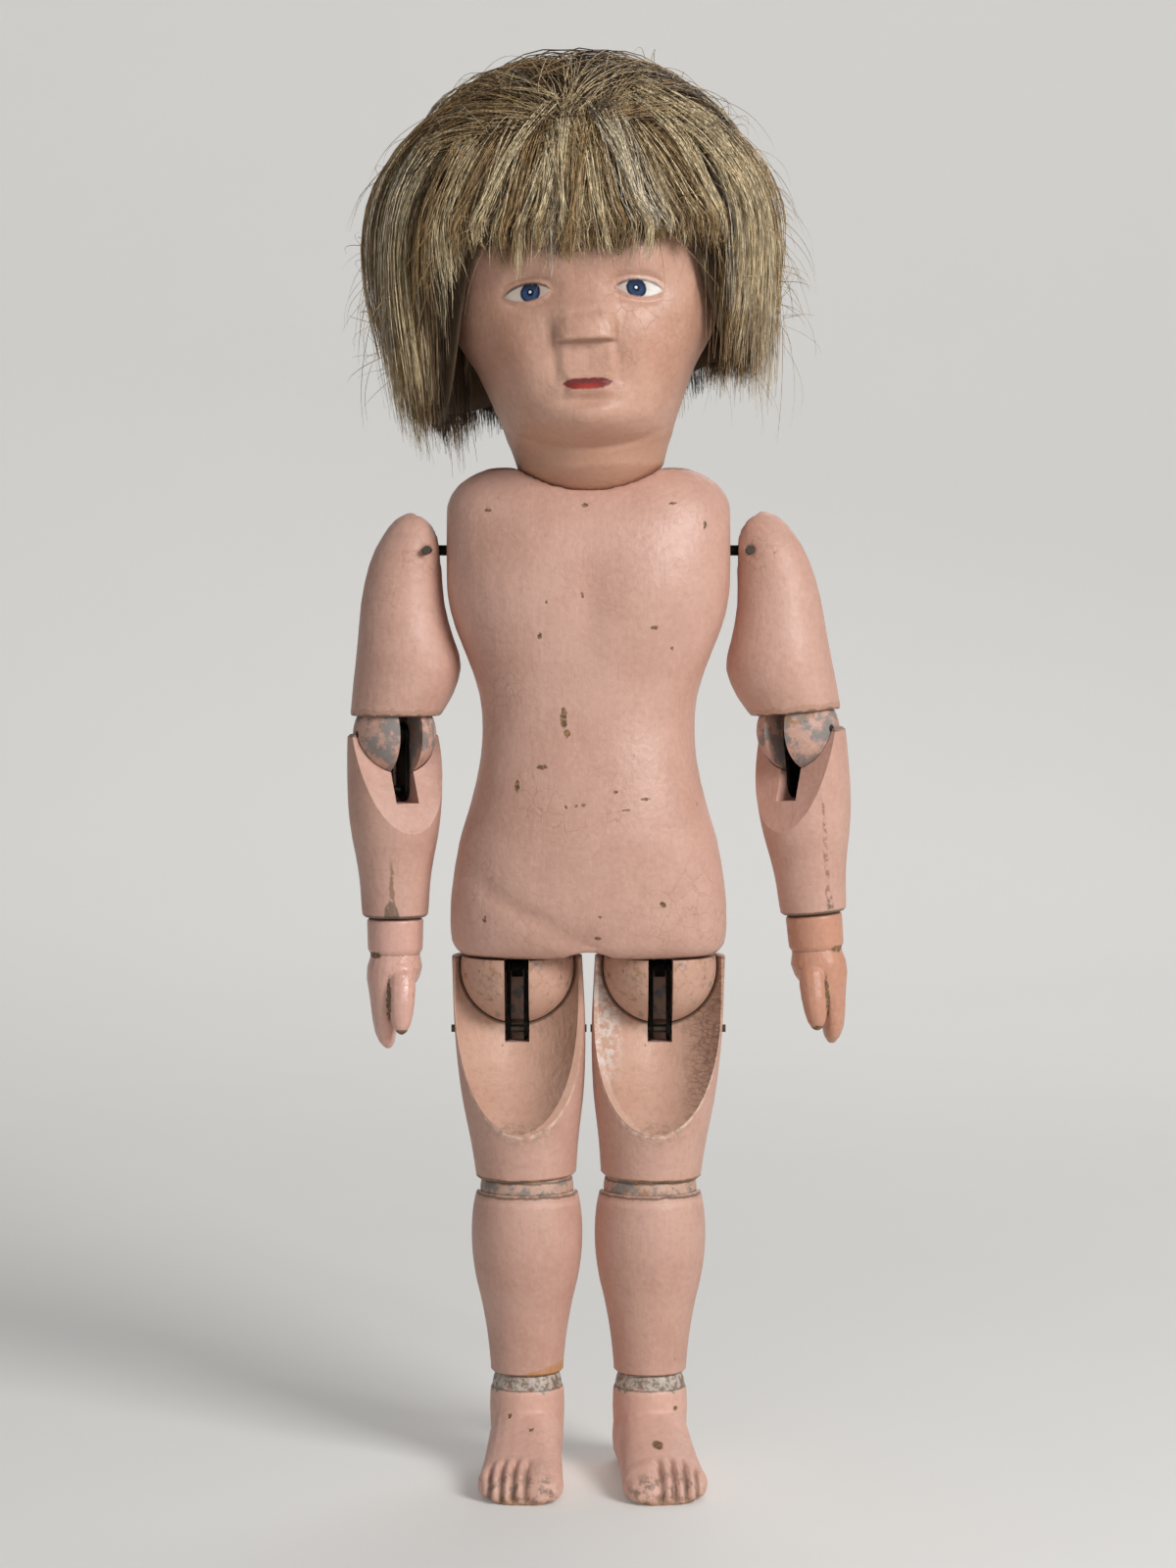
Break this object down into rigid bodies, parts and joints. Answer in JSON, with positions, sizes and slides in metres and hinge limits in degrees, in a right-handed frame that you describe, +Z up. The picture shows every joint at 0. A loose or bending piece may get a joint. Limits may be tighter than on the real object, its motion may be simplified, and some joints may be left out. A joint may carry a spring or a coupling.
{
  "type": "spring jointed wooden doll",
  "caption": "Carved and painted wooden doll with a wig; steel springs inside let its neck, shoulders, elbows, wrists, hips, knees and ankles turn and bend and hold any pose.",
  "frame": {"origin": "on the ground, in the middle of the doll's bounding box", "axes": "+Z up, the doll faces -Y, its left hand is on +X"},
  "size_m": [0.144, 0.098, 0.4061],
  "materials": {
    "body_paint": "aged satin flesh paint with small chips",
    "face_paint": "aged satin flesh paint, painted eyes and lips",
    "hand_paint": "satin flesh paint",
    "worn_wood": "worn paint over primer and bare wood",
    "hair": "ash blond mohair",
    "pin_steel": "dark tarnished steel",
    "spring_steel": "dull steel"
  },
  "bodies": {
    "torso": {"torso_front": "body_paint", "torso_back": "body_paint", "torso_springs": "spring_steel", "torso_washers": "spring_steel"},
    "neck_swivel": {"neck_rod": "spring_steel"},
    "head": {"head": "face_paint", "neck_pin": "pin_steel", "wig": "hair"},
    "right_shoulder_swivel": {"right_shoulder_rod": "spring_steel"},
    "right_upper_arm": {"right_upper_arm": "body_paint", "right_shoulder_pin": "pin_steel", "right_elbow_spring_set": "spring_steel"},
    "right_elbow_swivel": {"right_elbow_ball": "worn_wood", "right_elbow_rod": "spring_steel", "right_elbow_pin": "pin_steel"},
    "right_forearm": {"right_forearm": "body_paint", "right_elbow_link": "spring_steel", "right_wrist_spring_set": "spring_steel"},
    "right_hand": {"right_hand": "hand_paint", "right_wrist_rod": "spring_steel"},
    "right_hip_swivel": {"right_hip_ball": "worn_wood", "right_hip_rod": "spring_steel"},
    "right_thigh": {"right_thigh": "body_paint", "right_hip_link": "spring_steel", "right_hip_pin": "pin_steel", "right_knee_spring_set": "spring_steel"},
    "right_knee_swivel": {"right_knee_ball": "worn_wood", "right_knee_rod": "spring_steel"},
    "right_shin": {"right_shin": "body_paint", "right_knee_link": "spring_steel", "right_ankle_spring_set": "spring_steel"},
    "right_ankle_swivel": {"right_ankle_rod": "spring_steel"},
    "right_foot": {"right_foot": "body_paint"},
    "left_shoulder_swivel": {"left_shoulder_rod": "spring_steel"},
    "left_upper_arm": {"left_upper_arm": "body_paint", "left_shoulder_pin": "pin_steel", "left_elbow_spring_set": "spring_steel"},
    "left_elbow_swivel": {"left_elbow_ball": "worn_wood", "left_elbow_rod": "spring_steel", "left_elbow_pin": "pin_steel"},
    "left_forearm": {"left_forearm": "body_paint", "left_elbow_link": "spring_steel", "left_wrist_spring_set": "spring_steel"},
    "left_hand": {"left_hand": "hand_paint", "left_wrist_rod": "spring_steel"},
    "left_hip_swivel": {"left_hip_ball": "worn_wood", "left_hip_rod": "spring_steel"},
    "left_thigh": {"left_thigh": "body_paint", "left_hip_link": "spring_steel", "left_hip_pin": "pin_steel", "left_knee_spring_set": "spring_steel"},
    "left_knee_swivel": {"left_knee_ball": "worn_wood", "left_knee_rod": "spring_steel"},
    "left_shin": {"left_shin": "body_paint", "left_knee_link": "spring_steel", "left_ankle_spring_set": "spring_steel"},
    "left_ankle_swivel": {"left_ankle_rod": "spring_steel"},
    "left_foot": {"left_foot": "body_paint"}
  },
  "joints": [
    {"name": "neck_turn", "type": "hinge", "parent": "torso", "child": "neck_swivel", "pos_m": [-0.003, -0.00627, 0.30393], "axis": [0, 0, 1], "range_deg": [-90, 90]},
    {"name": "neck_nod", "type": "hinge", "parent": "neck_swivel", "child": "head", "pos_m": [-0.003, -0.00627, 0.30393], "axis": [1, 0, 0], "range_deg": [-12, 12]},
    {"name": "right_shoulder_swing", "type": "hinge", "parent": "torso", "child": "right_shoulder_swivel", "pos_m": [-0.0487, -0.00427, 0.2648], "axis": [-1, 0, 0], "range_deg": [-90, 120]},
    {"name": "right_shoulder_lift", "type": "hinge", "parent": "right_shoulder_swivel", "child": "right_upper_arm", "pos_m": [-0.0487, -0.00427, 0.2648], "axis": [0, 1, 0], "range_deg": [0, 32]},
    {"name": "right_elbow_turn", "type": "hinge", "parent": "right_upper_arm", "child": "right_elbow_swivel", "pos_m": [-0.0584, -0.00427, 0.2124], "axis": [0, 0, -1], "range_deg": [-152, 28]},
    {"name": "right_elbow_bend", "type": "hinge", "parent": "right_elbow_swivel", "child": "right_forearm", "pos_m": [-0.0584, -0.00427, 0.2124], "axis": [-0.8829, -0.4695, 0], "range_deg": [0, 75]},
    {"name": "right_wrist_turn", "type": "hinge", "parent": "right_forearm", "child": "right_hand", "pos_m": [-0.0584, -0.00427, 0.1601], "axis": [0, 0, -1], "continuous": true},
    {"name": "right_hip_turn", "type": "hinge", "parent": "torso", "child": "right_hip_swivel", "pos_m": [-0.0234, -0.00427, 0.1459], "axis": [0, 0, -1], "range_deg": [-2, 25]},
    {"name": "right_hip_bend", "type": "hinge", "parent": "right_hip_swivel", "child": "right_thigh", "pos_m": [-0.0234, -0.00427, 0.1459], "axis": [-1, 0, 0], "range_deg": [0, 68]},
    {"name": "right_knee_turn", "type": "hinge", "parent": "right_thigh", "child": "right_knee_swivel", "pos_m": [-0.0207, -0.00427, 0.0816], "axis": [0, 0, -1], "range_deg": [-2, 15]},
    {"name": "right_knee_bend", "type": "hinge", "parent": "right_knee_swivel", "child": "right_shin", "pos_m": [-0.0207, -0.00427, 0.0816], "axis": [1, 0, 0], "range_deg": [0, 72]},
    {"name": "right_ankle_turn", "type": "hinge", "parent": "right_shin", "child": "right_ankle_swivel", "pos_m": [-0.0207, -0.00427, 0.0246], "axis": [0, 0, -1], "range_deg": [-4, 21]},
    {"name": "right_ankle_bend", "type": "hinge", "parent": "right_ankle_swivel", "child": "right_foot", "pos_m": [-0.0207, -0.00427, 0.0246], "axis": [0.9976, -0.0698, 0], "range_deg": [-15, 15]},
    {"name": "left_shoulder_swing", "type": "hinge", "parent": "torso", "child": "left_shoulder_swivel", "pos_m": [0.0427, -0.00427, 0.2648], "axis": [-1, 0, 0], "range_deg": [-90, 120]},
    {"name": "left_shoulder_lift", "type": "hinge", "parent": "left_shoulder_swivel", "child": "left_upper_arm", "pos_m": [0.0427, -0.00427, 0.2648], "axis": [0, -1, 0], "range_deg": [-5, 27]},
    {"name": "left_elbow_turn", "type": "hinge", "parent": "left_upper_arm", "child": "left_elbow_swivel", "pos_m": [0.05693, -0.00427, 0.21344], "axis": [-0.0872, 0, 0.9962], "range_deg": [-140, 40]},
    {"name": "left_elbow_bend", "type": "hinge", "parent": "left_elbow_swivel", "child": "left_forearm", "pos_m": [0.05693, -0.00427, 0.21344], "axis": [-0.7631, 0.6428, -0.0668], "range_deg": [0, 75]},
    {"name": "left_wrist_turn", "type": "hinge", "parent": "left_forearm", "child": "left_hand", "pos_m": [0.06149, -0.00427, 0.16134], "axis": [-0.0872, 0, 0.9962], "continuous": true},
    {"name": "left_hip_turn", "type": "hinge", "parent": "torso", "child": "left_hip_swivel", "pos_m": [0.0174, -0.00427, 0.1459], "axis": [0, 0, 1], "range_deg": [-2, 25]},
    {"name": "left_hip_bend", "type": "hinge", "parent": "left_hip_swivel", "child": "left_thigh", "pos_m": [0.0174, -0.00427, 0.1459], "axis": [-1, 0, 0], "range_deg": [0, 68]},
    {"name": "left_knee_turn", "type": "hinge", "parent": "left_thigh", "child": "left_knee_swivel", "pos_m": [0.0147, -0.00427, 0.0816], "axis": [0, 0, 1], "range_deg": [-2, 15]},
    {"name": "left_knee_bend", "type": "hinge", "parent": "left_knee_swivel", "child": "left_shin", "pos_m": [0.0147, -0.00427, 0.0816], "axis": [1, 0, 0], "range_deg": [0, 72]},
    {"name": "left_ankle_turn", "type": "hinge", "parent": "left_shin", "child": "left_ankle_swivel", "pos_m": [0.0147, -0.00427, 0.0246], "axis": [0, 0, 1], "range_deg": [-8, 17]},
    {"name": "left_ankle_bend", "type": "hinge", "parent": "left_ankle_swivel", "child": "left_foot", "pos_m": [0.0147, -0.00427, 0.0246], "axis": [0.9903, 0.1392, 0], "range_deg": [-15, 15]}
  ]
}
